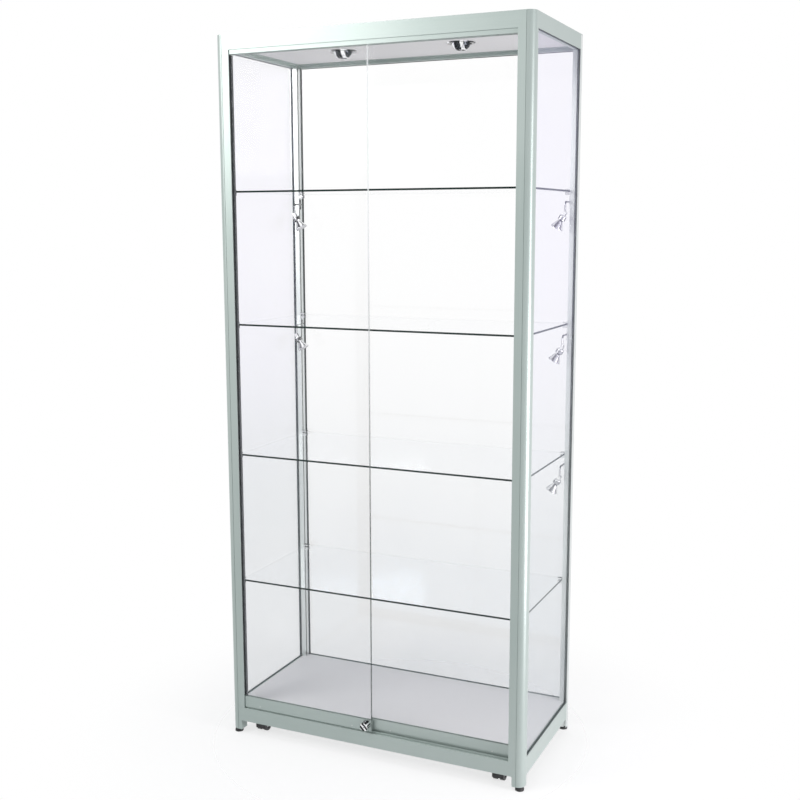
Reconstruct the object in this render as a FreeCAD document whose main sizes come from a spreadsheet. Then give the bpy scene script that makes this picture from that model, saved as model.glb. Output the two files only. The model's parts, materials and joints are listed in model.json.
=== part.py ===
"""Upright glass display case: aluminium frame, glass walls, shelves and two sliding glass doors.

Millimetres, +Z up. The origin is on the floor, under the middle of the whole box.
X runs along the width, the doors face -Y.
"""
import FreeCAD, Part
import os
import Sketcher

doc = FreeCAD.newDocument("DisplayCase")
sheet = doc.addObject("Spreadsheet::Sheet", "Sizes")
pieces = []

# Driving dimensions
SIZES = {
    # whole case
    "case_width": 897,
    "case_depth": 434,
    "case_height": 1980,
    "corner_radius": 20,
    "profile_wall": 2.5,
    "seat_clearance": 0.3,
    # corner posts
    "front_post_width": 32,
    "front_post_depth": 28,
    "rear_post_width": 22,
    "rear_post_depth": 32,
    "reveal_width": 1.2,
    "reveal_depth": 1,
    "door_fin_width": 10,
    "slot_inset": 25,
    "slot_opening": 5,
    "slot_cavity_width": 9,
    "slot_cavity_depth": 3,
    "slot_lip": 2,
    # panes and their grooves
    "pane_thickness": 5,
    "pane_setback": 2.5,
    "pane_clearance": 0.5,
    "groove_depth": 8,
    # rails
    "rail_ground_clearance": 39,
    "side_rail_width": 20,
    "base_rail_height": 50,
    "groove_wall": 2,
    "head_rail_height": 38,
    "door_sill_height": 37,
    "door_lip_height": 4,
    "door_lintel_height": 36,
    "ledge_width": 11,
    "ledge_thickness": 2.5,
    # boards
    "deck_thickness": 16,
    "ceiling_thickness": 6,
    "ceiling_drop": 28,
    "lid_thickness": 2,
    "board_clearance": 0.5,
    # shelves and clips
    "shelf_thickness": 5,
    "shelf_level_1": 456,
    "shelf_level_2": 827,
    "shelf_level_3": 1198,
    "shelf_level_4": 1564,
    "shelf_side_inset": 24.5,
    "shelf_front_inset": 30,
    "shelf_rear_inset": 11,
    "clip_reach": 14,
    "clip_width": 12,
    "clip_height": 8,
    "clip_web": 1.5,
    "clip_jaw": 3,
    "clip_play": 0.4,
    # door tracks
    "track_margin": 0.5,
    "track_base": 2,
    "track_rib_height": 6,
    "track_rib_width": 2,
    "head_track_height": 14,
    "head_track_play": 0.7,
    # doors
    "door_overlap": 8,
    "door_end_gap": 1,
    "door_first_plane": 8.5,
    "door_pitch": 13,
    "door_top_engagement": 8,
    "shoe_width": 9,
    "shoe_height": 33,
    "shoe_wall": 1.5,
    "shoe_lift": 5,
    "shoe_glass_grip": 8,
    "shoe_web": 2,
    "roller_radius": 6,
    "roller_flange": 1,
    "roller_width": 4,
    "roller_groove_width": 2.6,
    "roller_end_distance": 60,
    "roller_axle_radius": 1.5,
    "running_gap": 0.05,
    # lock
    "lock_diameter": 24,
    "lock_reach": 16,
    "lock_rim": 1,
    "lock_end_distance": 14,
    "lock_axis_height": 19.5,
    "plug_diameter": 15,
    "plug_recess": 0.6,
    "keyway_width": 1.6,
    "keyway_length": 7.5,
    "keyway_depth": 5,
    "spindle_diameter": 6,
    "cam_thickness": 1.6,
    "cam_width": 8,
    "cam_reach": 14,
    "cam_hub_diameter": 10,
    "keeper_width": 4,
    "keeper_height": 7,
    "keeper_gap": 1.3,
    "keeper_play": 2,
    # levelling feet
    "foot_inset": 14,
    "foot_diameter": 24,
    "foot_top_diameter": 19,
    "foot_height": 11,
    "foot_edge": 4,
    "stud_diameter": 8,
    "stud_length": 34,
    "stud_gap": 0.1,
    # castors
    "castor_side_inset": 80,
    "castor_end_inset": 60,
    "castor_trail": 14,
    "castor_floor_gap": 1.5,
    "castor_wheel_radius": 17,
    "castor_wheel_width": 11,
    "castor_wheel_gap": 0.8,
    "castor_web": 8,
    "castor_hood_wall": 2,
    "castor_axle_radius": 3,
    "castor_axle_drop": 6,
    "castor_neck_diameter": 18,
    "castor_pin_diameter": 10,
    "castor_plate_side": 40,
    "castor_plate_thickness": 2.5,
    "castor_cup_height": 6,
    "castor_cup_diameter": 24,
    # spot lamps on the rear posts
    "lamp_plate_width": 12,
    "lamp_plate_height": 30,
    "lamp_plate_thickness": 2,
    "lamp_plate_drop": 12,
    "lamp_arm_diameter": 5,
    "lamp_weld_depth": 0.6,
    "lamp_arm_forward": 38,
    "lamp_arm_bend": 8,
    "lamp_arm_fall": 22,
    "lamp_eye_diameter": 9,
    "lamp_eye_width": 6,
    "lamp_cheek": 1.5,
    "lamp_cheek_gap": 0.3,
    "lamp_holder_start": 7,
    "lamp_holder_length": 18,
    "lamp_holder_diameter": 20,
    "lamp_holder_shoulder": 4,
    "lamp_throat_diameter": 14,
    "lamp_bowl_diameter": 35,
    "lamp_bowl_length": 22,
    "lamp_bowl_wall": 1.2,
    "lamp_tilt": 30,
    # downlights in the ceiling
    "downlight_spread": 175,
    "downlight_flange_diameter": 76,
    "downlight_flange_thickness": 2.5,
    "downlight_mouth_diameter": 56,
    "downlight_sleeve_wall": 1.8,
    "downlight_sleeve_height": 9,
    "downlight_ball_gap": 1.5,
    "downlight_head_drop": 19,
    "downlight_head_wall": 1.5,
    "downlight_socket_diameter": 20,
    "downlight_socket_height": 8,
    "downlight_pin_diameter": 3,
    # power supply above the ceiling
    "supply_length": 130,
    "supply_width": 45,
    "supply_height": 19,
    "supply_corner": 4,
    "grommet_diameter": 16,
    "grommet_bore": 8,
    "grommet_flange": 3,
    "grommet_flange_thickness": 1.5,
    "grommet_side_inset": 150,
    "grommet_rear_inset": 60,
}


class Size:
    """A length with its value and the spreadsheet expression that gives it."""

    def __init__(self, value, text):
        self.value = float(value)
        self.text = text

    def combine(self, other, sign, swapped=False):
        first, second = (as_size(other), self) if swapped else (self, as_size(other))
        results = {
            "+": lambda a, b: a + b,
            "-": lambda a, b: a - b,
            "*": lambda a, b: a * b,
            "/": lambda a, b: a / b,
        }
        return Size(results[sign](first.value, second.value), f"({first.text} {sign} {second.text})")

    def __add__(self, other):
        return self.combine(other, "+")

    def __radd__(self, other):
        return self.combine(other, "+", True)

    def __sub__(self, other):
        return self.combine(other, "-")

    def __rsub__(self, other):
        return self.combine(other, "-", True)

    def __mul__(self, other):
        return self.combine(other, "*")

    def __rmul__(self, other):
        return self.combine(other, "*", True)

    def __truediv__(self, other):
        return self.combine(other, "/")

    def __neg__(self):
        return self.combine(-1, "*")


def larger(first, second):
    return Size(max(first.value, second.value), f"max({first.text}; {second.text})")


def half_chord(radius, offset):
    """Half the width of a ball or circle at an offset from its middle."""
    square = radius * radius - offset * offset
    return Size(square.value ** 0.5, f"sqrt({square.text})")


def as_size(number):
    return number if isinstance(number, Size) else Size(number, f"{float(number):g}")


class Named:
    """The driving dimensions as attributes."""

    def __init__(self, values):
        for row, (name, value) in enumerate(values.items(), start=1):
            sheet.set(f"A{row}", name)
            sheet.set(f"B{row}", f"{value:g}")
            sheet.setAlias(f"B{row}", name)
            setattr(self, name, Size(value, f"Sizes.{name}"))


dim = Named(SIZES)
doc.recompute()

# Document helpers
TURNS = {
    "X": FreeCAD.Rotation(FreeCAD.Vector(0, 1, 0), 90),
    "Y": FreeCAD.Rotation(FreeCAD.Vector(1, 0, 0), -90),
    "Z": FreeCAD.Rotation(),
}
ORIGIN = (0, 0, 0)


def bind(item, prop, amount):
    item.setExpression(prop, as_size(amount).text)


def place(item, base, axis="Z"):
    """Put an object at base, with its own Z along the named axis."""
    spot = FreeCAD.Vector(*[as_size(part).value for part in base])
    item.Placement = FreeCAD.Placement(spot, TURNS[axis])
    for letter, part in zip("xyz", base):
        bind(item, f"Placement.Base.{letter}", part)
    return item


def keep(item):
    """List an object as one of the case's pieces."""
    pieces.append(item)
    return item


def box(label, extent, base):
    item = doc.addObject("Part::Box", label)
    for prop, amount in zip(("Length", "Width", "Height"), extent):
        bind(item, prop, amount)
    return place(item, base)


def rod(label, radius, length, base, axis="Z"):
    item = doc.addObject("Part::Cylinder", label)
    bind(item, "Radius", radius)
    bind(item, "Height", length)
    return place(item, base, axis)


def cut(label, solid, tool):
    item = doc.addObject("Part::Cut", label)
    item.Base = solid
    item.Tool = tool
    return item


def fuse(label, solids):
    item = doc.addObject("Part::MultiFuse", label)
    item.Shapes = solids
    return item


def group(label, solids):
    item = doc.addObject("Part::Compound", label)
    item.Links = solids
    return item


def mirrored(label, source, normal=(1, 0, 0)):
    """The same piece on the other side of a plane through the origin."""
    item = doc.addObject("Part::Mirroring", label)
    item.Source = source
    item.Normal = FreeCAD.Vector(*normal)
    return item


def flat(x, y):
    return FreeCAD.Vector(as_size(x).value, as_size(y).value, 0)


def constrain(sketch, rule, amount):
    number = sketch.addConstraint(rule)
    sketch.setExpression(f"Constraints[{number}]", as_size(amount).text)


def draw_loop(sketch, points, arcs=None):
    """A closed outline; arcs gives radius and centre where an edge is round, anticlockwise."""
    arcs = arcs or {}
    spots = [flat(x, y) for x, y in points]
    first = sketch.GeometryCount
    for index, start in enumerate(spots):
        end = spots[(index + 1) % len(spots)]
        if index in arcs:
            radius, centre = arcs[index]
            ring = Part.Circle(flat(*centre), FreeCAD.Vector(0, 0, 1), as_size(radius).value)
            edge = Part.ArcOfCircle(ring, ring.parameter(start), ring.parameter(end))
        else:
            edge = Part.LineSegment(start, end)
        sketch.addGeometry(edge)
    for index, (x, y) in enumerate(points):
        here = first + index
        before = first + (index - 1) % len(points)
        sketch.addConstraint(Sketcher.Constraint("Coincident", before, 2, here, 1))
        for kind, amount in (("DistanceX", x), ("DistanceY", y)):
            rule = Sketcher.Constraint(kind, -1, 1, here, 1, as_size(amount).value)
            constrain(sketch, rule, amount)
    for index, (radius, centre) in arcs.items():
        rule = Sketcher.Constraint("Radius", first + index, as_size(radius).value)
        constrain(sketch, rule, radius)


def draw_circle(sketch, radius, x, y):
    middle = flat(x, y)
    ring = sketch.addGeometry(
        Part.Circle(middle, FreeCAD.Vector(0, 0, 1), as_size(radius).value))
    constrain(sketch, Sketcher.Constraint("Radius", ring, as_size(radius).value), radius)
    constrain(sketch, Sketcher.Constraint("DistanceX", -1, 1, ring, 3, middle.x), x)
    constrain(sketch, Sketcher.Constraint("DistanceY", -1, 1, ring, 3, middle.y), y)


def new_sketch(body, plane, name):
    sketch = body.newObject("Sketcher::SketchObject", name)
    support = [item for item in body.Origin.OriginFeatures if item.Role == plane][0]
    sketch.AttachmentSupport = [(support, "")]
    sketch.MapMode = "FlatFace"
    return sketch


PLANES = {"X": "YZ_Plane", "Y": "XZ_Plane", "Z": "XY_Plane"}


def extruded(label, along, loops, length, base, arcs=None, circles=()):
    """A profile drawn across an axis and padded along it; the first loop is the outside."""
    body = doc.addObject("PartDesign::Body", label)
    sketch = new_sketch(body, PLANES[along], f"{label}_profile")
    for index, points in enumerate(loops):
        draw_loop(sketch, points, arcs if index == 0 else None)
    for circle in circles:
        draw_circle(sketch, *circle)
    pad = body.newObject("PartDesign::Pad", f"{label}_pad")
    pad.Profile = sketch
    pad.Reversed = along == "Y"
    bind(pad, "Length", length)
    place(body, base)
    return body


def turned(label, outline, base, axis="Z", arcs=None):
    """A profile of radius and height turned round its own Z."""
    body = doc.addObject("PartDesign::Body", label)
    sketch = new_sketch(body, "XZ_Plane", f"{label}_outline")
    draw_loop(sketch, outline, arcs)
    spin = body.newObject("PartDesign::Revolution", f"{label}_turn")
    spin.Profile = sketch
    spin.ReferenceAxis = (sketch, ["V_Axis"])
    spin.Angle = 360
    return place(body, base, axis)


def rectangle(low_x, low_y, high_x, high_y):
    return [(low_x, low_y), (high_x, low_y), (high_x, high_y), (low_x, high_y)]


def rounded_rectangle(wide, deep, radius):
    """Outline from the origin and the arcs of its four corners."""
    outline = [
        (radius, 0), (wide - radius, 0), (wide, radius), (wide, deep - radius),
        (wide - radius, deep), (radius, deep), (0, deep - radius), (0, radius),
    ]
    centres = [
        (wide - radius, radius), (wide - radius, deep - radius),
        (radius, deep - radius), (radius, radius),
    ]
    return outline, {2 * index + 1: (radius, centre) for index, centre in enumerate(centres)}


# Places that several pieces share
left = -(dim.case_width / 2)
front = (dim.lock_reach - dim.case_depth) / 2
rear = front + dim.case_depth
leg_bottom = dim.foot_height + dim.seat_clearance
frame_top = dim.case_height - dim.lid_thickness
groove_width = dim.pane_thickness + 2 * dim.pane_clearance
pane_inner = dim.pane_setback + groove_width
groove_back = pane_inner + dim.groove_wall
sill_top = dim.rail_ground_clearance + dim.door_sill_height
lip_top = sill_top + dim.door_lip_height
lintel_bottom = frame_top - dim.door_lintel_height
ceiling_height = frame_top - dim.ceiling_drop
base_rail_top = dim.rail_ground_clearance + dim.base_rail_height
head_rail_bottom = frame_top - dim.head_rail_height
ledge_level = base_rail_top - dim.deck_thickness
stud_bore = dim.stud_diameter / 2 + dim.stud_gap


def slot_notch(centre, face, sign):
    """Corners of the clip slot, cut into a face and walked across it, as offset and depth."""
    mouth = dim.slot_opening / 2
    cavity = dim.slot_cavity_width / 2
    lip = face - dim.slot_lip
    floor = lip - dim.slot_cavity_depth
    side = [(mouth, face), (mouth, lip), (cavity, lip), (cavity, floor)]
    near = [(centre + sign * across, depth) for across, depth in side]
    far = [(centre - sign * across, depth) for across, depth in reversed(side)]
    return near + far


# Corner posts
def front_post():
    width, depth = dim.front_post_width, dim.front_post_depth
    radius = dim.corner_radius
    reveal = radius + dim.reveal_width
    outline = [(reveal, 0), (width, 0), (width, depth)]
    outline += slot_notch(dim.slot_inset, depth, 1)
    outline += [
        (pane_inner, depth),
        (pane_inner, depth - dim.groove_depth),
        (dim.pane_setback, depth - dim.groove_depth),
        (dim.pane_setback, depth),
        (0, depth),
        (0, radius),
        (radius, 0),
        (radius, dim.reveal_depth),
        (reveal, dim.reveal_depth),
    ]
    arcs = {outline.index((0, radius)): (radius, (radius, radius))}
    hollow = rectangle(
        dim.foot_inset + stud_bore + dim.profile_wall,
        dim.profile_wall,
        width - dim.profile_wall,
        depth - dim.slot_lip - dim.slot_cavity_depth - dim.profile_wall,
    )
    body = extruded(
        "post_front_left", "Z", [outline, hollow], frame_top - leg_bottom,
        (left, front, leg_bottom), arcs, [(stud_bore, dim.foot_inset, dim.foot_inset)])
    fin = new_sketch(body, "XY_Plane", "post_fin_profile")
    fin.AttachmentOffset = FreeCAD.Placement()
    bind(fin, "AttachmentOffset.Base.z", lip_top - leg_bottom)
    draw_loop(fin, rectangle(width, 0, width + dim.door_fin_width, dim.profile_wall))
    pad = body.newObject("PartDesign::Pad", "post_fin_pad")
    pad.Profile = fin
    bind(pad, "Length", lintel_bottom - dim.ledge_thickness - lip_top)
    return keep(body)


def rear_post():
    width, depth = dim.rear_post_width, dim.rear_post_depth
    radius = dim.corner_radius
    reveal = radius + dim.reveal_width
    slot = [(inward, -along) for along, inward in slot_notch(dim.slot_inset, width, 1)]
    outline = [
        (0, -radius),
        (dim.reveal_depth, -radius),
        (dim.reveal_depth, -reveal),
        (0, -reveal),
        (0, -depth),
        (dim.pane_setback, -depth),
        (dim.pane_setback, dim.groove_depth - depth),
        (pane_inner, dim.groove_depth - depth),
        (pane_inner, -depth),
        (width, -depth),
    ]
    outline += slot
    outline += [
        (width, -pane_inner),
        (width - dim.groove_depth, -pane_inner),
        (width - dim.groove_depth, -dim.pane_setback),
        (width, -dim.pane_setback),
        (width, 0),
        (radius, 0),
    ]
    arcs = {len(outline) - 1: (radius, (radius, -radius))}
    body = extruded(
        "post_rear_left", "Z", [outline], frame_top - leg_bottom,
        (left, rear, leg_bottom), arcs, [(stud_bore, dim.foot_inset, -dim.foot_inset)])
    return keep(body)


# Rails
def base_rail_section(width):
    level = ledge_level - dim.rail_ground_clearance
    height = dim.base_rail_height
    floor = height - dim.groove_depth
    outside = [
        (0, 0), (width, 0), (width, level), (groove_back, level), (groove_back, height),
        (pane_inner, height), (pane_inner, floor),
        (dim.pane_setback, floor), (dim.pane_setback, height), (0, height),
    ]
    wall = dim.profile_wall
    return [outside, rectangle(wall, wall, width - wall, level - wall)]


def head_rail_section(width):
    level = ceiling_height - head_rail_bottom
    height = dim.head_rail_height
    floor = dim.groove_depth
    outside = [
        (0, 0), (dim.pane_setback, 0), (dim.pane_setback, floor),
        (pane_inner, floor), (pane_inner, 0), (width, 0),
        (width, level - dim.ledge_thickness),
        (width + dim.ledge_width, level - dim.ledge_thickness),
        (width + dim.ledge_width, level),
        (width, level),
        (width, height), (0, height),
    ]
    wall = dim.profile_wall
    return [outside, rectangle(wall, floor + wall, width - wall, height - wall)]


def sill_section():
    width, height = dim.front_post_depth, dim.door_sill_height
    level = ledge_level - dim.rail_ground_clearance
    lip = lip_top - dim.rail_ground_clearance
    outside = [
        (0, 0), (width, 0),
        (width, level - dim.ledge_thickness),
        (width + dim.ledge_width, level - dim.ledge_thickness),
        (width + dim.ledge_width, level),
        (width, level),
        (width, height), (dim.profile_wall, height), (dim.profile_wall, lip), (0, lip),
    ]
    wall = dim.profile_wall
    return [outside, rectangle(wall, wall, width - wall, height - wall)]


def lintel_section():
    width, height = dim.front_post_depth, dim.door_lintel_height
    level = ceiling_height - lintel_bottom
    outside = [
        (0, -dim.ledge_thickness), (dim.profile_wall, -dim.ledge_thickness), (dim.profile_wall, 0),
        (width, 0),
        (width, level - dim.ledge_thickness),
        (width + dim.ledge_width, level - dim.ledge_thickness),
        (width + dim.ledge_width, level),
        (width, level),
        (width, height), (0, height),
    ]
    wall = dim.profile_wall
    return [outside, rectangle(wall, wall, width - wall, height - wall)]


def facing_front(loops):
    return [[(-x, y) for x, y in points] for points in loops]


def rails():
    side_start = front + dim.front_post_depth
    side_length = dim.case_depth - dim.front_post_depth - dim.rear_post_depth
    back_start = left + dim.rear_post_width
    back_length = dim.case_width - 2 * dim.rear_post_width
    door_start = left + dim.front_post_width
    door_length = dim.case_width - 2 * dim.front_post_width
    width = dim.side_rail_width
    levels = (
        ("base_rail", base_rail_section(width), dim.rail_ground_clearance),
        ("head_rail", head_rail_section(width), head_rail_bottom),
    )
    for name, section, level in levels:
        side = keep(extruded(f"{name}_left", "Y", section, side_length, (left, side_start, level)))
        keep(mirrored(f"{name}_right", side))
        keep(extruded(f"{name}_rear", "X", facing_front(section), back_length,
                      (back_start, rear, level)))
    keep(extruded("door_sill", "X", sill_section(), door_length,
                  (door_start, front, dim.rail_ground_clearance)))
    keep(extruded("door_lintel", "X", lintel_section(), door_length,
                  (door_start, front, lintel_bottom)))


# Tracks for the two doors
door_planes = (dim.door_first_plane, dim.door_first_plane + dim.door_pitch)
track_front = dim.profile_wall + dim.track_margin


def tracks():
    start = left + dim.front_post_width
    length = dim.case_width - 2 * dim.front_post_width
    deep = dim.front_post_depth
    half = dim.track_rib_width / 2
    rib_top = dim.track_base + dim.track_rib_height
    first, second = door_planes
    floor_track = [
        (track_front, 0), (deep, 0), (deep, dim.track_base),
        (second + half, dim.track_base), (second + half, rib_top),
        (second - half, rib_top), (second - half, dim.track_base),
        (first + half, dim.track_base), (first + half, rib_top),
        (first - half, rib_top), (first - half, dim.track_base),
        (track_front, dim.track_base),
    ]
    keep(extruded("door_track_lower", "X", [floor_track], length, (start, front, sill_top)))
    gap = dim.pane_thickness / 2 + dim.head_track_play
    web = dim.head_track_height - dim.track_base
    head_track = [
        (track_front, 0), (first - gap, 0), (first - gap, web), (first + gap, web),
        (first + gap, 0), (second - gap, 0), (second - gap, web), (second + gap, web),
        (second + gap, 0), (deep, 0),
        (deep, dim.head_track_height), (track_front, dim.head_track_height),
    ]
    keep(extruded("door_track_upper", "X", [head_track], length,
                  (start, front, lintel_bottom - dim.head_track_height)))


# Boards
def base_deck(ease):
    """Board lying on the rails as far as their groove walls, notched round the rear posts."""
    half = dim.case_width / 2 - groove_back - ease
    notch_x = dim.case_width / 2 - dim.rear_post_width - ease
    near = dim.front_post_depth + ease
    far = dim.case_depth - groove_back - ease
    notch_y = dim.case_depth - dim.rear_post_depth - ease
    outline = [
        (-half, near), (half, near), (half, notch_y), (notch_x, notch_y),
        (notch_x, far), (-notch_x, far), (-notch_x, notch_y), (-half, notch_y),
    ]
    return extruded("base_deck", "Z", [outline], dim.deck_thickness, (0, front, ledge_level))


def boards():
    ease = dim.board_clearance
    across = dim.case_width - 2 * (larger(dim.side_rail_width, dim.rear_post_width) + ease)
    deep = dim.case_depth - dim.front_post_depth - dim.side_rail_width - 2 * ease
    start = (-(across / 2), front + dim.front_post_depth + ease)
    keep(base_deck(ease))
    hole_radius = dim.downlight_mouth_diameter / 2 + dim.downlight_sleeve_wall + dim.seat_clearance
    panel = box("ceiling_board", (across, deep, dim.ceiling_thickness), (*start, ceiling_height))
    holes = [
        rod(f"ceiling_hole_{index}", hole_radius, dim.ceiling_thickness,
            (sign * dim.downlight_spread, downlight_y, ceiling_height))
        for index, sign in enumerate((-1, 1), start=1)
    ]
    keep(cut("ceiling_panel", panel, fuse("ceiling_holes", holes)))
    outline, arcs = rounded_rectangle(dim.case_width, dim.case_depth, dim.corner_radius)
    grommet_hole = (
        dim.grommet_diameter / 2 + dim.seat_clearance,
        dim.grommet_side_inset,
        dim.case_depth - dim.grommet_rear_inset,
    )
    keep(extruded("top_lid", "Z", [outline], dim.lid_thickness, (left, front, frame_top), arcs,
                  [grommet_hole]))


inside_depth = dim.case_depth - dim.front_post_depth - dim.side_rail_width
downlight_y = front + dim.front_post_depth + inside_depth / 2


# Fixed glass and shelves
shelf_levels = [dim.shelf_level_1, dim.shelf_level_2, dim.shelf_level_3, dim.shelf_level_4]


def glass():
    thin = dim.pane_thickness
    inset = dim.pane_setback + dim.pane_clearance
    bottom = base_rail_top - dim.groove_depth + dim.seat_clearance
    tall = head_rail_bottom + dim.groove_depth - dim.pane_clearance - bottom
    side_start = front + dim.front_post_depth - dim.groove_depth + dim.pane_clearance
    side_end = rear - dim.rear_post_depth + dim.groove_depth - dim.pane_clearance
    side = box("side_glass_left", (thin, side_end - side_start, tall),
               (left + inset, side_start, bottom))
    keep(side)
    keep(mirrored("side_glass_right", side))
    back_inset = dim.rear_post_width - dim.groove_depth + dim.pane_clearance
    keep(box("back_glass", (dim.case_width - 2 * back_inset, thin, tall),
             (left + back_inset, rear - inset - thin, bottom)))
    shelf_width = dim.case_width - 2 * dim.shelf_side_inset
    shelf_depth = dim.case_depth - dim.shelf_front_inset - dim.shelf_rear_inset
    for count, level in enumerate(shelf_levels, start=1):
        keep(box(f"glass_shelf_{count}", (shelf_width, shelf_depth, dim.shelf_thickness),
                 (-(shelf_width / 2), front + dim.shelf_front_inset, level)))


def clip_at(label, level, at_front):
    """A shelf clip on a left-hand post: jaws round the glass, neck and head in the slot."""
    tall = dim.clip_height
    opening = dim.shelf_thickness + dim.seat_clearance
    neck = dim.slot_opening - dim.clip_play
    head = dim.slot_cavity_width - dim.clip_play
    thick = dim.slot_cavity_depth - dim.clip_play
    drop = level - tall
    sunk = dim.slot_lip + dim.clip_play / 2
    if at_front:
        middle = left + dim.slot_inset
        face = front + dim.front_post_depth
        parts = (
            (dim.clip_width, dim.clip_reach, middle - dim.clip_width / 2, face),
            (neck, sunk, middle - neck / 2, face - sunk),
            (head, thick, middle - head / 2, face - sunk - thick),
        )
    else:
        middle = rear - dim.slot_inset
        face = left + dim.rear_post_width
        parts = (
            (dim.clip_reach, dim.clip_width, face, middle - dim.clip_width / 2),
            (sunk, neck, face - sunk, middle - neck / 2),
            (thick, head, face - sunk - thick, middle - head / 2),
        )
    solids = [
        box(f"{label}_{index}", (long, wide, tall), (x, y, drop))
        for index, (long, wide, x, y) in enumerate(parts, start=1)
    ]
    long, wide, x, y = parts[0]
    solids.append(box(f"{label}_jaw", (long, wide, dim.clip_jaw), (x, y, level + opening)))
    web = (long, dim.clip_web, opening) if at_front else (dim.clip_web, wide, opening)
    solids.append(box(f"{label}_web", web, (x, y, level)))
    return fuse(label, solids)


def shelf_clips():
    clips = []
    for count, level in enumerate(shelf_levels, start=1):
        clips.append(clip_at(f"clip_front_{count}", level, True))
        clips.append(clip_at(f"clip_rear_{count}", level, False))
    near = group("clips_left", clips)
    keep(group("shelf_clips", [near, mirrored("clips_right", near)]))


# Sliding doors
door_span = dim.case_width - 2 * dim.front_post_width
door_width = (door_span + dim.door_overlap) / 2 - dim.door_end_gap
shoe_bottom = sill_top + dim.track_base + dim.shoe_lift
roller_axis = sill_top + dim.track_base + dim.track_rib_height + dim.seat_clearance + dim.roller_radius
left_door_start = left + dim.front_post_width + dim.door_end_gap
right_door_start = -left_door_start - door_width
lock_x = left_door_start + door_width - dim.lock_end_distance
lock_z = shoe_bottom + dim.lock_axis_height


def shoe_section(plane):
    half = dim.shoe_width / 2
    inner = half - dim.shoe_wall
    tall = dim.shoe_height
    grip = tall - dim.shoe_glass_grip
    ceiling = grip - dim.shoe_web
    return [
        (plane - half, 0), (plane - inner, 0), (plane - inner, ceiling), (plane + inner, ceiling),
        (plane + inner, 0), (plane + half, 0), (plane + half, tall), (plane + inner, tall),
        (plane + inner, grip), (plane - inner, grip), (plane - inner, tall), (plane - half, tall),
    ]


def roller_at(label, x, plane):
    """A flanged roller with its axle, turning about Y."""
    radius, rim = dim.roller_radius, dim.roller_radius + dim.roller_flange
    half, groove = dim.roller_width / 2, dim.roller_groove_width / 2
    reach = dim.shoe_width / 2
    pin = dim.roller_axle_radius
    outline = [
        (0, -reach), (pin, -reach), (pin, -half), (rim, -half), (rim, -groove), (radius, -groove),
        (radius, groove), (rim, groove), (rim, half), (pin, half), (pin, reach), (0, reach),
    ]
    return keep(turned(label, outline, (x, front + plane, roller_axis), "Y"))


def door(side, start, plane):
    shoe = extruded(f"shoe_bar_{side}", "X", [shoe_section(plane)], door_width,
                    (start, front, shoe_bottom))
    near = front + plane - dim.shoe_width / 2
    holes = []
    for count, x in enumerate((start + dim.roller_end_distance,
                               start + door_width - dim.roller_end_distance), start=1):
        holes.append(rod(f"axle_hole_{side}_{count}", dim.roller_axle_radius + dim.running_gap,
                         dim.shoe_width, (x, near, roller_axis), "Y"))
        roller_at(f"door_roller_{side}_{count}", x, plane)
    if side == "left":
        holes.append(rod("spindle_hole", dim.spindle_diameter / 2 + dim.running_gap, dim.shoe_width,
                         (lock_x, near, lock_z), "Y"))
    keep(cut(f"door_shoe_{side}", shoe, fuse(f"shoe_holes_{side}", holes)))
    bottom = shoe_bottom + dim.shoe_height - dim.shoe_glass_grip
    top = lintel_bottom - dim.head_track_height + dim.door_top_engagement
    keep(box(f"door_glass_{side}", (door_width, dim.pane_thickness, top - bottom),
             (start, front + plane - dim.pane_thickness / 2, bottom)))


# Cam lock on the left door
def lock():
    first, second = door_planes
    mount = front + first - dim.shoe_width / 2
    nose = front - dim.lock_reach
    radius = dim.lock_diameter / 2
    bore = dim.plug_diameter / 2 + dim.running_gap
    length = mount - nose
    case = [
        (bore, 0), (radius - dim.lock_rim, 0), (radius, dim.lock_rim),
        (radius, length), (bore, length),
    ]
    keep(turned("lock_case", case, (lock_x, nose, lock_z), "Y"))
    plug = dim.plug_diameter / 2
    spindle = dim.spindle_diameter / 2
    gap_middle = front + (first + second) / 2
    cam_front = gap_middle - dim.cam_thickness / 2
    plug_end = mount - nose - dim.seat_clearance
    reach = cam_front - nose
    outline = [
        (0, dim.plug_recess), (plug, dim.plug_recess), (plug, plug_end), (spindle, plug_end),
        (spindle, reach), (dim.cam_hub_diameter / 2, reach),
        (dim.cam_hub_diameter / 2, reach + dim.cam_thickness), (0, reach + dim.cam_thickness),
    ]
    core = turned("plug_core", outline, (lock_x, nose, lock_z), "Y")
    arm = box("cam_arm", (dim.cam_reach, dim.cam_thickness, dim.cam_width),
              (lock_x - dim.cam_reach, cam_front, lock_z - dim.cam_width / 2))
    keyway = box("keyway", (dim.keyway_width, dim.keyway_depth, dim.keyway_length),
                 (lock_x - dim.keyway_width / 2, nose, lock_z - dim.keyway_length / 2))
    keep(cut("lock_plug", fuse("plug_with_cam", [core, arm]), keyway))
    catch_start = front + first + dim.shoe_width / 2 + dim.keeper_gap
    catch_end = front + second - dim.shoe_width / 2
    catch_x = larger(lock_x + dim.cam_width / 2 + dim.keeper_play, right_door_start)
    keep(box("lock_keeper", (dim.keeper_width, catch_end - catch_start, dim.keeper_height),
             (catch_x, catch_start, lock_z + dim.cam_hub_diameter / 2 + dim.seat_clearance)))


# Levelling feet
def feet():
    base, top = dim.foot_diameter / 2, dim.foot_top_diameter / 2
    stud = dim.stud_diameter / 2
    outline = [
        (0, 0), (base, 0), (base, dim.foot_edge), (top, dim.foot_height), (stud, dim.foot_height),
        (stud, dim.foot_height + dim.stud_length), (0, dim.foot_height + dim.stud_length),
    ]
    for end, y in (("front", front + dim.foot_inset), ("rear", rear - dim.foot_inset)):
        for side, sign in (("left", -1), ("right", 1)):
            x = sign * (dim.case_width / 2 - dim.foot_inset)
            keep(turned(f"levelling_foot_{end}_{side}", outline, (x, y, 0)))


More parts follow.
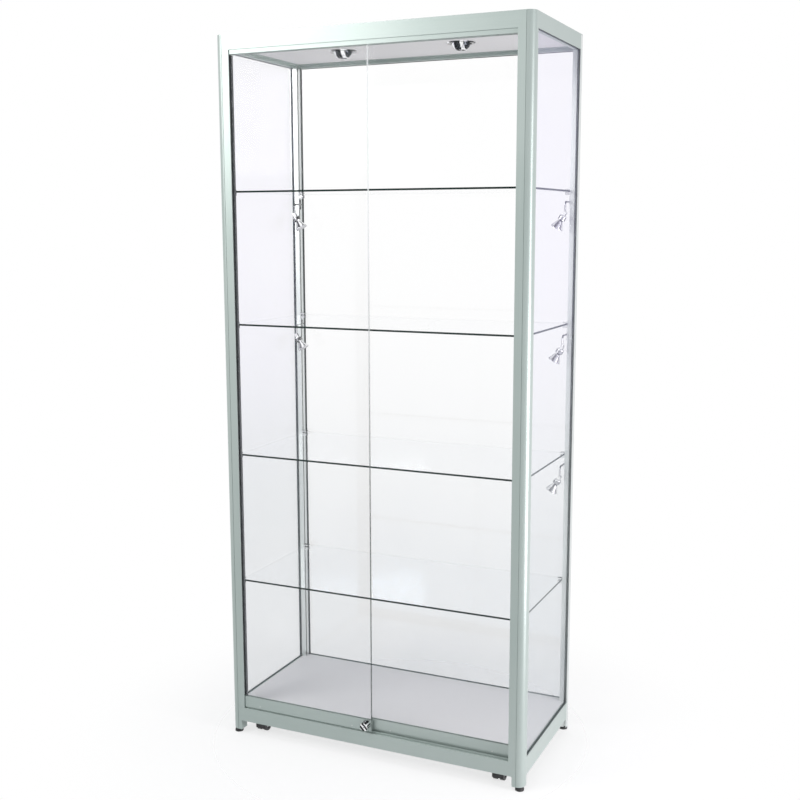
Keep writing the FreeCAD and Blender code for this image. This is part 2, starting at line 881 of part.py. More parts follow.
# Castors
castor_axle_z = dim.castor_wheel_radius + dim.castor_floor_gap
castor_hood_inner = dim.castor_wheel_radius + dim.castor_wheel_gap
castor_hood_radius = castor_hood_inner + dim.castor_hood_wall
castor_half_width = dim.castor_web / 2 + dim.castor_wheel_gap + dim.castor_wheel_width
castor_cup_bottom = ledge_level - dim.castor_plate_thickness - dim.castor_cup_height


def castor(name, x, y):
    pin = dim.castor_pin_diameter / 2
    side, tall = dim.castor_plate_side, dim.castor_cup_height
    cup_base = (x, y, castor_cup_bottom)
    plate = box(f"plate_{name}", (side, side, dim.castor_plate_thickness),
                (x - side / 2, y - side / 2, ledge_level - dim.castor_plate_thickness))
    cup = rod(f"cup_{name}", dim.castor_cup_diameter / 2, tall, cup_base)
    bore = rod(f"cup_bore_{name}", pin + dim.running_gap, tall, cup_base)
    fixed = cut(f"swivel_plate_{name}", fuse(f"plate_cup_{name}", [plate, cup]), bore)

    wheel_y = y - dim.castor_trail
    width = 2 * castor_half_width
    start = x - castor_half_width
    barrel = rod(f"hood_{name}", castor_hood_radius, width, (start, wheel_y, castor_axle_z), "X")
    below = box(f"hood_open_{name}", (width, 2 * castor_hood_radius, castor_hood_radius),
                (start, wheel_y - castor_hood_radius,
                 castor_axle_z - dim.castor_axle_drop - castor_hood_radius))
    well = castor_half_width - dim.castor_web / 2
    wells = [
        rod(f"well_{name}_{index}", castor_hood_inner, well, (low, wheel_y, castor_axle_z), "X")
        for index, low in enumerate((start, x + dim.castor_web / 2), start=1)
    ]
    hood = cut(f"hood_shell_{name}", barrel, fuse(f"hood_cuts_{name}", [below, *wells]))
    shoulder = castor_cup_bottom - dim.seat_clearance
    neck_foot = castor_axle_z + castor_hood_inner
    neck = rod(f"neck_{name}", dim.castor_neck_diameter / 2, shoulder - neck_foot, (x, y, neck_foot))
    web_top = box(f"neck_web_{name}", (dim.castor_web, dim.castor_trail, castor_hood_radius),
                  (x - dim.castor_web / 2, wheel_y, castor_axle_z))
    foot = rod(f"neck_core_{name}", dim.castor_web / 2, neck_foot - castor_axle_z, (x, y, castor_axle_z))
    swivel = rod(f"pin_{name}", pin, dim.castor_cup_height + dim.seat_clearance, (x, y, shoulder))
    body = fuse(f"fork_body_{name}", [hood, neck, web_top, foot, swivel])
    axle_hole = rod(f"fork_axle_hole_{name}", dim.castor_axle_radius + dim.running_gap, dim.castor_web,
                     (x - dim.castor_web / 2, wheel_y, castor_axle_z), "X")
    keep(cut(f"castor_fork_{name}", body, axle_hole))

    outer = castor_half_width
    inner = dim.castor_web / 2 + dim.castor_wheel_gap
    axle, rim = dim.castor_axle_radius, dim.castor_wheel_radius
    soft = dim.castor_wheel_gap
    hub = rim / 2
    dish = dim.castor_wheel_width / 4
    outline = [
        (0, -outer + dish), (hub, -outer + dish), (hub + soft, -outer), (rim - soft, -outer),
        (rim, -outer + soft), (rim, -inner), (axle, -inner), (axle, inner), (rim, inner),
        (rim, outer - soft), (rim - soft, outer), (hub + soft, outer), (hub, outer - dish),
        (0, outer - dish),
    ]
    keep(turned(f"castor_wheel_{name}", outline, (x, wheel_y, castor_axle_z), "X"))
    return fixed


def castors():
    plates = []
    for end, y in (("front", front + dim.castor_end_inset), ("rear", rear - dim.castor_end_inset)):
        for side, sign in (("left", -1), ("right", 1)):
            x = sign * (dim.case_width / 2 - dim.castor_side_inset)
            plates.append(castor(f"{end}_{side}", x, y))
    keep(group("castor_plates", plates))


# Spot lamps
lamp_y = rear - dim.slot_inset
lamp_face = dim.case_width / 2 - dim.rear_post_width
lamp_wire_x = lamp_face - dim.lamp_plate_thickness - dim.lamp_arm_diameter / 2 + dim.lamp_weld_depth
lamp_eye_y = lamp_y - dim.lamp_arm_forward


def lamp_eye_z(level):
    return (level - dim.lamp_plate_drop - dim.lamp_plate_height / 2
            - dim.lamp_arm_bend - dim.lamp_arm_fall)


def lamp_bracket(label, level):
    """Plate on the right rear post, wire arm running forward and bending down to an eye."""
    wire = dim.lamp_arm_diameter / 2
    bend = dim.lamp_arm_bend
    run_z = level - dim.lamp_plate_drop - dim.lamp_plate_height / 2
    thick, wide, tall = dim.lamp_plate_thickness, dim.lamp_plate_width, dim.lamp_plate_height
    plate = box(f"{label}_plate", (thick, wide, tall),
                (lamp_face - thick, lamp_y - wide / 2, run_z - tall / 2))
    run = rod(f"{label}_run", wire, dim.lamp_arm_forward - bend + dim.lamp_plate_width / 2,
              (lamp_wire_x, lamp_eye_y + bend, run_z), "Y")
    elbow = doc.addObject("Part::Torus", f"{label}_elbow")
    bind(elbow, "Radius1", bend)
    bind(elbow, "Radius2", wire)
    elbow.Angle3 = 90
    place(elbow, (lamp_wire_x, lamp_eye_y + bend, run_z - bend))
    elbow.Placement.Rotation = FreeCAD.Rotation(
        FreeCAD.Vector(0, -1, 0), FreeCAD.Vector(0, 0, 1), FreeCAD.Vector(-1, 0, 0), "XYZ")
    fall = rod(f"{label}_fall", wire, dim.lamp_arm_fall, (lamp_wire_x, lamp_eye_y, lamp_eye_z(level)))
    eye = rod(f"{label}_eye", dim.lamp_eye_diameter / 2, dim.lamp_eye_width,
              (lamp_wire_x, lamp_eye_y - dim.lamp_eye_width / 2, lamp_eye_z(level)), "Y")
    return fuse(label, [plate, run, elbow, fall, eye])


def lamp_head(label, level):
    """Holder with two cheeks round the eye, and the bowl of the lamp, swung towards the middle."""
    start, length = dim.lamp_holder_start, dim.lamp_holder_length
    top, bottom = -start, -(start + length)
    wide, shoulder = dim.lamp_holder_diameter / 2, dim.lamp_holder_shoulder
    throat = dim.lamp_throat_diameter / 2
    parts = [turned(f"{label}_holder", [
        (0, bottom), (throat, bottom), (wide, bottom + shoulder), (wide, top - shoulder),
        (wide - shoulder, top), (0, top),
    ], ORIGIN, arcs={3: (shoulder, (wide - shoulder, top - shoulder))})]
    inner = dim.lamp_eye_width / 2 + dim.lamp_cheek_gap
    cheek_radius = dim.lamp_eye_diameter / 2
    for index, y in enumerate((-inner - dim.lamp_cheek, inner), start=1):
        parts.append(rod(f"{label}_cheek_{index}", cheek_radius, dim.lamp_cheek, (0, y, 0), "Y"))
        parts.append(box(f"{label}_tab_{index}", (dim.lamp_eye_diameter, dim.lamp_cheek, start),
                         (-cheek_radius, y, -start)))
    holder = fuse(f"{label}_body", parts)
    wall = dim.lamp_bowl_wall
    rim = dim.lamp_bowl_diameter / 2
    low = bottom - dim.lamp_bowl_length
    bowl = turned(f"{label}_bowl", [
        (0, bottom), (0, bottom - wall), (throat - wall, bottom - wall), (rim - wall, low + wall),
        (rim - wall, low), (rim, low), (rim, low + wall), (throat, bottom),
    ], ORIGIN)
    head = group(label, [holder, bowl])
    place(head, (lamp_wire_x, lamp_eye_y, lamp_eye_z(level)))
    head.Placement.Rotation = FreeCAD.Rotation(FreeCAD.Vector(0, 1, 0), dim.lamp_tilt.value)
    bind(head, "Placement.Rotation.Angle", dim.lamp_tilt)
    return head


def spot_lamps():
    lit = (("right", 4), ("right", 3), ("right", 2), ("left", 4), ("left", 3))
    brackets = []
    for side, count in lit:
        level = shelf_levels[count - 1]
        name = f"{side}_{count}"
        if side == "right":
            brackets.append(lamp_bracket(f"bracket_{name}", level))
            keep(lamp_head(f"spot_lamp_{name}", level))
        else:
            source = lamp_bracket(f"bracket_source_{name}", level)
            brackets.append(mirrored(f"bracket_{name}", source))
            keep(mirrored(f"spot_lamp_{name}", lamp_head(f"lamp_source_{name}", level)))
    keep(group("lamp_brackets", brackets))


# Downlights
def downlights():
    mouth = dim.downlight_mouth_diameter / 2
    sleeve = mouth + dim.downlight_sleeve_wall
    flange = dim.downlight_flange_diameter / 2
    below = -dim.downlight_flange_thickness
    tall = dim.downlight_sleeve_height
    pivot = tall / 2
    pin = dim.downlight_pin_diameter / 2
    ring_outline = [
        (mouth, below), (flange - dim.downlight_sleeve_wall, below), (flange, 0), (sleeve, 0),
        (sleeve, tall), (mouth, tall),
    ]
    ball = mouth - dim.downlight_ball_gap
    wall = dim.downlight_head_wall
    low = -dim.downlight_head_drop
    lens = half_chord(ball, pivot - low)
    shoulder = half_chord(ball, tall - pivot)
    socket = dim.downlight_socket_diameter / 2
    top = tall + dim.downlight_socket_height
    head_outline = [
        (0, low + 2 * wall), (lens - wall, low + 2 * wall), (lens - wall, low), (lens, low),
        (shoulder, tall), (socket, tall), (socket, top), (0, top),
    ]
    ball_side = {3: (ball, (0, pivot))}
    rings = []
    for side, sign in (("left", -1), ("right", 1)):
        spot = (sign * dim.downlight_spread, downlight_y, ceiling_height)
        axis_z = ceiling_height + pivot
        ring = turned(f"ring_{side}", ring_outline, spot)
        hole = rod(f"ring_hole_{side}", pin + dim.running_gap, 2 * sleeve,
                   (spot[0] - sleeve, downlight_y, axis_z), "X")
        rings.append(cut(f"bezel_{side}", ring, hole))
        cup = turned(f"cup_{side}", head_outline, spot, arcs=ball_side)
        pivots = rod(f"pivot_{side}", pin, 2 * sleeve, (spot[0] - sleeve, downlight_y, axis_z), "X")
        keep(fuse(f"downlight_head_{side}", [cup, pivots]))
    keep(group("downlight_rings", rings))


# Power supply and cable entry above the ceiling
def supply():
    bottom = ceiling_height + dim.ceiling_thickness
    outline, arcs = rounded_rectangle(dim.supply_length, dim.supply_width, dim.supply_corner)
    corner = (-(dim.supply_length / 2), downlight_y - dim.supply_width / 2, bottom)
    keep(extruded("power_supply", "Z", [outline], dim.supply_height, corner, arcs))
    outer, inner = dim.grommet_diameter / 2, dim.grommet_bore / 2
    flange = outer + dim.grommet_flange
    low = -dim.grommet_flange_thickness
    keep(turned("cable_grommet", [
        (inner, low), (flange, low), (flange, 0), (outer, 0), (outer, dim.lid_thickness),
        (inner, dim.lid_thickness),
    ], (left + dim.grommet_side_inset, rear - dim.grommet_rear_inset, frame_top)))


keep(mirrored("post_front_right", front_post()))
keep(mirrored("post_rear_right", rear_post()))
rails()
tracks()
boards()
glass()
shelf_clips()
door("left", left_door_start, door_planes[0])
door("right", right_door_start, door_planes[1])
lock()
feet()
castors()
spot_lamps()
downlights()
supply()
doc.recompute()

# Test every object, then write one file for each piece
for item in doc.Objects:
    if "Invalid" in item.State or "Error" in item.State:
        raise RuntimeError(f"{item.Label} failed: {item.State}")
os.makedirs("parts", exist_ok=True)
for item in pieces:
    shape = item.Shape
    if shape.isNull() or not shape.isValid() or not shape.Solids:
        raise RuntimeError(f"{item.Label} has no valid solid")
    shape.exportStep(f"parts/{item.Label}.step")
print(len(pieces), "pieces written")
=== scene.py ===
import json
import math
import bmesh
import bpy
from mathutils import Matrix, Vector


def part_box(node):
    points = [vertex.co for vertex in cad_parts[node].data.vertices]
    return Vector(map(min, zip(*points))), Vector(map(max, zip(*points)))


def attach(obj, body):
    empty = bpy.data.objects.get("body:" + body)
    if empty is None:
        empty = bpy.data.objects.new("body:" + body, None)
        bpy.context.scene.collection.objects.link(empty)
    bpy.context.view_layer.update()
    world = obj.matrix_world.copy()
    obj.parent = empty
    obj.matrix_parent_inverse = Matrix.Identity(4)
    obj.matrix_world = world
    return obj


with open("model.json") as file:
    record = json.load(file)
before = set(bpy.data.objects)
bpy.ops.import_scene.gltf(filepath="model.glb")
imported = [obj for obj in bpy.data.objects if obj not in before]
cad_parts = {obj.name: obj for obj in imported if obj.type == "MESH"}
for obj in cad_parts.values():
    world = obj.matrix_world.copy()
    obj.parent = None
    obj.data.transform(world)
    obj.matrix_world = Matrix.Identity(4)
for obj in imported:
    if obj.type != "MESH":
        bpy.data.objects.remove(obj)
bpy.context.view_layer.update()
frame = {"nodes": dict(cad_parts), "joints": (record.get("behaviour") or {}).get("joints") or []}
cad = frame["nodes"]
MM = 0.001
LEFT, RIGHT = -1, 1
SIDES = {LEFT: "left", RIGHT: "right"}
SHELVES = range(1, 5)
LAMPS_BY_SHELF = {4: (LEFT, RIGHT), 3: (LEFT, RIGHT), 2: (RIGHT,)}
SLOT_INSET = 25 * MM  # from a post's outer face to the middle of its clip slot


# Shader nodes
class Value:
    """A node's output that can be reckoned with like a number."""

    def __init__(self, nodes, socket):
        self.nodes = nodes
        self.socket = socket

    def __add__(self, other):
        return self.nodes.math("ADD", self, other)

    def __radd__(self, other):
        return self.nodes.math("ADD", other, self)

    def __sub__(self, other):
        return self.nodes.math("SUBTRACT", self, other)

    def __rsub__(self, other):
        return self.nodes.math("SUBTRACT", other, self)

    def __mul__(self, other):
        return self.nodes.math("MULTIPLY", self, other)

    def __rmul__(self, other):
        return self.nodes.math("MULTIPLY", other, self)

    def __truediv__(self, other):
        return self.nodes.math("DIVIDE", self, other)

    def __rtruediv__(self, other):
        return self.nodes.math("DIVIDE", other, self)

    def __gt__(self, other):
        return self.nodes.math("GREATER_THAN", self, other)

    def __lt__(self, other):
        return self.nodes.math("LESS_THAN", self, other)


class Nodes:
    """One material's or world's node tree."""

    def __init__(self, tree):
        self.tree = tree
        tree.nodes.clear()

    def node(self, kind, settings=None, sockets=None, output=0):
        made = self.tree.nodes.new(kind)
        for name, setting in (settings or {}).items():
            setattr(made, name, setting)
        for name, value in (sockets or {}).items():
            if isinstance(value, Value):
                self.tree.links.new(value.socket, made.inputs[name])
            else:
                made.inputs[name].default_value = value
        return Value(self, made.outputs[output]) if made.outputs else None

    def math(self, operation, first, second=0.0):
        return self.node("ShaderNodeMath", {"operation": operation}, {0: first, 1: second})

    def larger(self, first, second):
        return self.math("MAXIMUM", first, second)

    def place(self):
        return self.node("ShaderNodeTexCoord", output="Object")

    def along(self, axis):
        """Where a point lies along an axis of the object, in metres."""
        return self.node("ShaderNodeSeparateXYZ", None, {0: self.place()}, output=axis)

    def normal(self, axis):
        """How far a face looks along an axis of the object, from -1 to 1."""
        normal = self.node("ShaderNodeTexCoord", output="Normal")
        return self.node("ShaderNodeSeparateXYZ", None, {0: normal}, output=axis)

    def faces(self, across):
        """1 on the two broad faces of a sheet, 0 on its edges."""
        return self.math("ABSOLUTE", self.normal(across)) > 0.5

    def stretched(self, scale):
        return self.node(
            "ShaderNodeVectorMath", {"operation": "MULTIPLY"}, {0: self.place(), 1: scale})

    def noise(self, where, scale, detail=2.0, roughness=0.5):
        return self.node("ShaderNodeTexNoise", None, {
            "Vector": where, "Scale": scale, "Detail": detail, "Roughness": roughness})

    def cells(self, scale, output):
        return self.node("ShaderNodeTexVoronoi", {"feature": "F1"}, {
            "Vector": self.place(), "Scale": scale}, output=output)

    def smears(self):
        """Faint wiping marks on glass."""
        return self.noise(self.place(), 4.0, 4.0, 0.62)

    def gloss(self):
        """Share of light that a glass face mirrors."""
        return self.node("ShaderNodeFresnel", None, {"IOR": 1.45})

    def span(self, value, low, high):
        """0 below low, 1 above high, smooth between."""
        return self.node("ShaderNodeMapRange", {"interpolation_type": "SMOOTHSTEP"}, {
            "Value": value, "From Min": low, "From Max": high})

    def mixed(self, factor, first, second):
        return self.node("ShaderNodeMix", {"data_type": "RGBA"}, {
            0: factor, 6: first, 7: second}, output=2)

    def bump(self, height, distance, strength):
        return self.node("ShaderNodeBump", None, {
            "Height": height, "Distance": distance, "Strength": strength})

    def surface(self, sockets):
        shader = self.node("ShaderNodeBsdfPrincipled", None, sockets)
        self.node("ShaderNodeOutputMaterial", None, {"Surface": shader})


def finish(name):
    material = bpy.data.materials.new(name)
    material.use_nodes = True
    return material, Nodes(material.node_tree)


def grey(level):
    return (level, level, level, 1.0)


# Finishes
def satin_aluminium(name, along, dull, pale, bright, metallic):
    """Anodised extrusion with fine drawing lines along its length."""
    material, n = finish(name)
    lines_per_metre = [620.0, 620.0, 620.0]
    lines_per_metre["XYZ".index(along)] = 4.0
    lines = n.noise(n.stretched(lines_per_metre), 1.0, 3.0, 0.6)
    cloud = n.noise(n.place(), 3.2, 3.0)
    ground = n.mixed(n.span(cloud, 0.3, 0.7), dull, pale)
    n.surface({
        "Base Color": n.mixed(lines * 0.35, ground, bright),
        "Metallic": metallic,
        "Roughness": 0.25 + 0.14 * lines + 0.05 * cloud,
        "Normal": n.bump(lines, 0.06 * MM, 0.5),
    })
    return material


def clear_glass(
        name, across, high, low, reflection_amounts, ramp, polish, haze, edge_high, edge_low, edge_alpha):
    """Float glass: nearly clear faces with a painted reflection of the surroundings that deepens
    towards the floor, and edges with their own tint.
    """
    material, n = finish(name)
    face = n.faces(across)
    smears = n.smears()
    # Painted reflection of the surroundings: the high colour at the top and the low colour below,
    # stronger towards the floor and varied by real smears.
    depth = 1 - n.span(n.along("Z"), *ramp)
    painted_reflection = (reflection_amounts[0] + (reflection_amounts[1] - reflection_amounts[0]) * depth) * (0.8 + 0.4 * smears)
    shine = polish * n.gloss()
    pane = n.mixed(shine / (painted_reflection + shine), n.mixed(depth, high, low), grey(1.0))
    n.surface({
        "Base Color": n.mixed(face, n.mixed(depth, edge_high, edge_low), pane),
        "Metallic": 0.9 * face,
        "Roughness": haze + 0.05 * smears,
        "Alpha": (painted_reflection + shine) * face + edge_alpha * (1 - face),
        "Specular IOR Level": 0.5,
    })
    return material


def shelf_edge_glass():
    """Shelf glass: faces that lighten at a low angle, deep green front and right edges."""
    material, n = finish("shelf_glass")
    face = n.faces("Z")
    low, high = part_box("glass_shelf_1")
    skin = 0.5 * MM
    polished = n.larger(n.along("Y") < low[1] + skin, n.along("X") > high[0] - skin)
    smears = n.smears()
    ripple = n.noise(n.stretched((14.0, 14.0, 300.0)), 1.0, 2.0)
    deep = n.mixed(ripple, (0.006, 0.016, 0.013, 1), (0.020, 0.040, 0.034, 1))
    edge = n.mixed(polished, (0.86, 0.90, 0.89, 1), deep)
    face_alpha = 0.015 + 0.02 * smears + 0.26 * n.gloss()
    edge_alpha = 0.10 + 0.90 * polished
    n.surface({
        "Base Color": n.mixed(face, edge, (0.97, 0.98, 0.99, 1)),
        "Metallic": 0.9 * face,
        "Roughness": 0.04 + 0.06 * smears,
        "Alpha": face_alpha * face + (1 - face) * edge_alpha,
        "Specular IOR Level": 0.06,
    })
    return material


def laminate(name, dull, pale, speck):
    """Pale grey melamine with a fine pearl grain."""
    material, n = finish(name)
    grain = n.noise(n.place(), 900.0, 2.0)
    cloud = n.noise(n.place(), 6.0, 3.0)
    n.surface({
        "Base Color": n.mixed(grain * 0.25, n.mixed(cloud, dull, pale), speck),
        "Roughness": 0.46 + 0.14 * grain,
        "Normal": n.bump(grain, 0.08 * MM, 0.35),
    })
    return material


def polished_chrome(name, dark, bright, reflection_sweeps, edges, across=0.0):
    """Bright plating with painted reflections: dark and light bands painted into its colour,
    following the way each face looks.
    """
    material, n = finish(name)
    smudge = n.noise(n.place(), 70.0, 4.0, 0.6)
    # Painted reflection: dark and bright bands in the base colour, set by each face's direction,
    # shifted by smudges and, where asked, by position.
    reflection_sweep = n.normal("X") * reflection_sweeps[0] + n.normal("Y") * reflection_sweeps[1] + n.normal("Z") * reflection_sweeps[2]
    reflection_sweep = reflection_sweep + 0.9 * smudge
    if across:
        reflection_sweep = reflection_sweep + across * (n.along("X") + n.along("Z"))
    painted_reflection_band = n.span(n.math("SINE", reflection_sweep), *edges)
    n.surface({
        "Base Color": n.mixed(painted_reflection_band, dark, bright),
        "Metallic": 1.0,
        "Roughness": 0.08 + 0.12 * n.span(smudge, 0.4, 0.8),
        "Normal": n.bump(smudge, 0.03 * MM, 0.3),
    })
    return material


def zinc_steel():
    """Dull plated sheet with a mottled spangle."""
    material, n = finish("zinc_steel")
    spangle = n.cells(420.0, "Distance")
    cloud = n.noise(n.place(), 40.0, 3.0)
    n.surface({
        "Base Color": n.mixed(cloud, (0.40, 0.41, 0.42, 1), (0.55, 0.56, 0.57, 1)),
        "Metallic": 0.85,
        "Roughness": 0.34 + 0.2 * spangle,
        "Normal": n.bump(spangle, 0.1 * MM, 0.3),
    })
    return material


def moulded_plastic(name, dark, worn, roughness):
    """Moulded part with a fine spark texture and a little dust."""
    material, n = finish(name)
    texture = n.noise(n.place(), 1600.0, 2.0)
    dust = n.span(n.noise(n.place(), 60.0, 4.0, 0.6), 0.45, 0.8)
    n.surface({
        "Base Color": n.mixed(dust, dark, worn),
        "Roughness": roughness + 0.12 * texture + 0.1 * dust,
        "Normal": n.bump(texture, 0.1 * MM, 0.5),
    })
    return material


def lamp_reflector():
    """Faceted cold mirror: pale and glossy, with painted reflections as dark streaks set by the
    way each face looks, and a shift between facets.
    """
    material, n = finish("lamp_reflector")
    shift = n.node("ShaderNodeSeparateColor", None, {0: n.cells(330.0, "Color")}, output=0)
    # Painted reflection: dark streaks set by each face's direction.
    painted_reflection_streak = n.span(n.math("SINE", 7.0 * n.normal("Z") + 9.0 * n.normal("Y")), 0.0, 0.9)
    bright = n.mixed(shift, (0.84, 0.85, 0.87, 1), (0.95, 0.95, 0.94, 1))
    dark = n.mixed(shift, (0.08, 0.085, 0.09, 1), (0.25, 0.25, 0.26, 1))
    n.surface({
        "Base Color": n.mixed(painted_reflection_streak, bright, dark),
        "Metallic": 0.85,
        "Roughness": 0.14 + 0.1 * shift,
        "Normal": n.bump(shift, 0.4 * MM, 0.4),
    })
    return material


def frosted_lens():
    """Front glass and capsule of a lamp, catching light like a pale disc."""
    material, n = finish("lamp_lens")
    frost = n.noise(n.place(), 1100.0, 3.0)
    n.surface({
        "Base Color": n.mixed(frost, (0.80, 0.81, 0.83, 1), (0.92, 0.92, 0.92, 1)),
        "Roughness": 0.18 + 0.15 * frost,
        "Alpha": 0.55 + 0.2 * frost,
        "Normal": n.bump(frost, 0.1 * MM, 0.4),
    })
    return material


aluminium = {
    along: satin_aluminium(
        f"satin_aluminium_{along.lower()}", along, dull=(0.355, 0.425, 0.40, 1),
        pale=(0.395, 0.46, 0.435, 1), bright=(0.50, 0.55, 0.53, 1), metallic=0.35)
    for along in "XYZ"}
# Painted light: the rear posts take a lighter, more metallic copy of the aluminium, a painted
# reflection of the white surroundings that lifts the shade inside the case.
rear_aluminium_painted_light = satin_aluminium(
    "rear_post_aluminium_painted_light", "Z", dull=(0.66, 0.70, 0.69, 1), pale=(0.72, 0.75, 0.74, 1),
    bright=(0.82, 0.84, 0.84, 1), metallic=0.85)

# The panes paint a reflection of the surroundings into their faces: violet or clear high up,
# slate or silver low down.
VIOLET, SLATE = (0.33, 0.25, 0.83, 1), (0.10, 0.19, 0.28, 1)
CLEAR, SILVER = (0.93, 0.95, 0.97, 1), (0.80, 0.84, 0.86, 1)
BRIGHT_EDGE, DARK_EDGE = (0.86, 0.90, 0.88, 1), (0.03, 0.045, 0.04, 1)
PALE_EDGE = (0.34, 0.40, 0.38, 1)
FIXED_PANE_EDGE = {"edge_high": PALE_EDGE, "edge_low": PALE_EDGE, "edge_alpha": 0.55}
left_glass = clear_glass(
    "left_side_glass", "X", VIOLET, SLATE, reflection_amounts=(0.040, 0.100), ramp=(0.60, 1.50),
    polish=0.12, haze=0.34, **FIXED_PANE_EDGE)
right_glass = clear_glass(
    "right_side_glass", "X", VIOLET, SLATE, reflection_amounts=(0.055, 0.060), ramp=(0.60, 1.50),
    polish=0.12, haze=0.34, **FIXED_PANE_EDGE)
back_glass = clear_glass(
    "back_glass", "Y", CLEAR, SLATE, reflection_amounts=(0.004, 0.125), ramp=(0.10, 1.60),
    polish=0.14, haze=0.03, **FIXED_PANE_EDGE)
door_glass = clear_glass(
    "door_glass", "Y", CLEAR, SILVER, reflection_amounts=(0.0015, 0.020), ramp=(0.50, 1.75),
    polish=0.05, haze=0.03, edge_high=BRIGHT_EDGE, edge_low=DARK_EDGE, edge_alpha=0.80)
shelf_glass = shelf_edge_glass()

deck_laminate = laminate(
    "deck_laminate", dull=(0.675, 0.675, 0.685, 1), pale=(0.71, 0.705, 0.715, 1),
    speck=(0.77, 0.77, 0.77, 1))
ceiling_laminate = laminate(
    "ceiling_laminate", dull=(0.76, 0.755, 0.745, 1), pale=(0.80, 0.795, 0.785, 1),
    speck=(0.84, 0.84, 0.83, 1))

# These platings paint their reflections as dark and bright bands in their colour.
chrome = polished_chrome(
    "polished_chrome", dark=(0.035, 0.04, 0.045, 1), bright=(0.88, 0.89, 0.90, 1),
    reflection_sweeps=(6.0, 0.9, 1.0), edges=(0.1, 0.7))
lock_chrome = polished_chrome(
    "lock_chrome", dark=(0.015, 0.016, 0.018, 1), bright=(0.88, 0.89, 0.90, 1),
    reflection_sweeps=(-6.0, -1.0, 6.0), edges=(-0.2, 0.5), across=420.0)
holder_chrome = polished_chrome(
    "holder_chrome", dark=(0.03, 0.032, 0.035, 1), bright=(0.50, 0.51, 0.53, 1),
    reflection_sweeps=(2.6, -1.0, 4.4), edges=(0.2, 0.95))
plated_fitting = polished_chrome(
    "plated_fitting", dark=(0.10, 0.105, 0.11, 1), bright=(0.72, 0.73, 0.74, 1),
    reflection_sweeps=(2.6, -1.0, 4.4), edges=(-0.2, 0.8))
steel = zinc_steel()
reflector = lamp_reflector()
lens = frosted_lens()

rubber = moulded_plastic(
    "black_rubber", dark=(0.012, 0.012, 0.013, 1), worn=(0.045, 0.045, 0.045, 1), roughness=0.62)
plastic = moulded_plastic(
    "black_plastic", dark=(0.014, 0.014, 0.016, 1), worn=(0.05, 0.05, 0.052, 1), roughness=0.38)
nylon = moulded_plastic(
    "white_nylon", dark=(0.72, 0.72, 0.69, 1), worn=(0.60, 0.60, 0.56, 1), roughness=0.40)
gasket = moulded_plastic(
    "grey_gasket", dark=(0.075, 0.080, 0.082, 1), worn=(0.13, 0.135, 0.135, 1), roughness=0.5)
brush = moulded_plastic(
    "brush_pile", dark=(0.10, 0.105, 0.11, 1), worn=(0.17, 0.175, 0.18, 1), roughness=0.8)

# How the names of the frame's pieces begin, and the finish they take
NODE_FINISHES = (
    (("post_rear",), rear_aluminium_painted_light),
    (("post_front",), aluminium["Z"]),
    (("base_rail_left", "base_rail_right", "head_rail_left", "head_rail_right"), aluminium["Y"]),
    (("base_rail_rear", "head_rail_rear", "door_sill", "door_lintel", "door_track", "door_shoe",
      "top_lid"), aluminium["X"]),
    (("side_glass_left",), left_glass),
    (("side_glass_right",), right_glass),
    (("back_glass",), back_glass),
    (("door_glass",), door_glass),
    (("glass_shelf",), shelf_glass),
    (("base_deck",), deck_laminate),
    (("ceiling_panel",), ceiling_laminate),
    (("lock_",), lock_chrome),
    (("downlight_",), chrome),
    (("shelf_clips", "lamp_brackets"), plated_fitting),
    (("spot_lamp",), reflector),
    (("castor_plates",), steel),
    (("castor_fork", "castor_wheel", "power_supply"), plastic),
    (("levelling_foot", "cable_grommet"), rubber),
    (("door_roller",), nylon),
)


def dress_frame():
    """Give every piece of the frame its finish."""
    for name, item in cad.items():
        material = next(found for starts, found in NODE_FINISHES if name.startswith(starts))
        item.data.materials.clear()
        item.data.materials.append(material)


# Mesh helpers
SHARP_EDGE = math.radians(35.0)


def turn_to(direction):
    """Rotation that takes +Z to a direction."""
    return Vector((0, 0, 1)).rotation_difference(Vector(direction)).to_matrix().to_4x4()


def add_lathe(mesh, outline, centre, direction, steps=32, start=0.0):
    """A closed turned form. The outline gives radius and height in millimetres, heights from
    start on, and runs from axis to axis or round a ring."""
    place = Matrix.Translation(Vector(centre)) @ turn_to(direction)
    rings = []
    for radius, height in outline:
        rise = (start + height) * MM
        if radius == 0:
            rings.append([mesh.verts.new(place @ Vector((0, 0, rise)))])
            continue
        turns = [2 * math.pi * step / steps for step in range(steps)]
        rings.append([
            mesh.verts.new(place @ Vector((
                radius * MM * math.cos(turn), radius * MM * math.sin(turn), rise)))
            for turn in turns])
    if min(len(rings[0]), len(rings[-1])) > 1:
        rings.append(rings[0])
    for lower, upper in zip(rings, rings[1:]):
        for step in range(steps):
            corners = [
                lower[step % len(lower)], lower[(step + 1) % len(lower)],
                upper[(step + 1) % len(upper)], upper[step % len(upper)]]
            unique = list(dict.fromkeys(corners))
            if len(unique) > 2:
                mesh.faces.new(unique)


def add_strip(mesh, outline, bottom, top):
    """An upright strip: its outline as x and y corners, closed at both ends."""
    low = [mesh.verts.new((x, y, bottom)) for x, y in outline]
    high = [mesh.verts.new((x, y, top)) for x, y in outline]
    mesh.faces.new(low)
    mesh.faces.new(high)
    for index in range(len(outline)):
        after = (index + 1) % len(outline)
        mesh.faces.new((low[index], low[after], high[after], high[index]))


def finish_piece(name, mesh, body, material):
    bmesh.ops.recalc_face_normals(mesh, faces=mesh.faces)
    data = bpy.data.meshes.new(name)
    mesh.to_mesh(data)
    mesh.free()
    for polygon in data.polygons:
        polygon.use_smooth = True
    data.set_sharp_from_angle(angle=SHARP_EDGE)
    item = bpy.data.objects.new(name, data)
    bpy.context.scene.collection.objects.link(item)
    data.materials.append(material)
    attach(item, body)


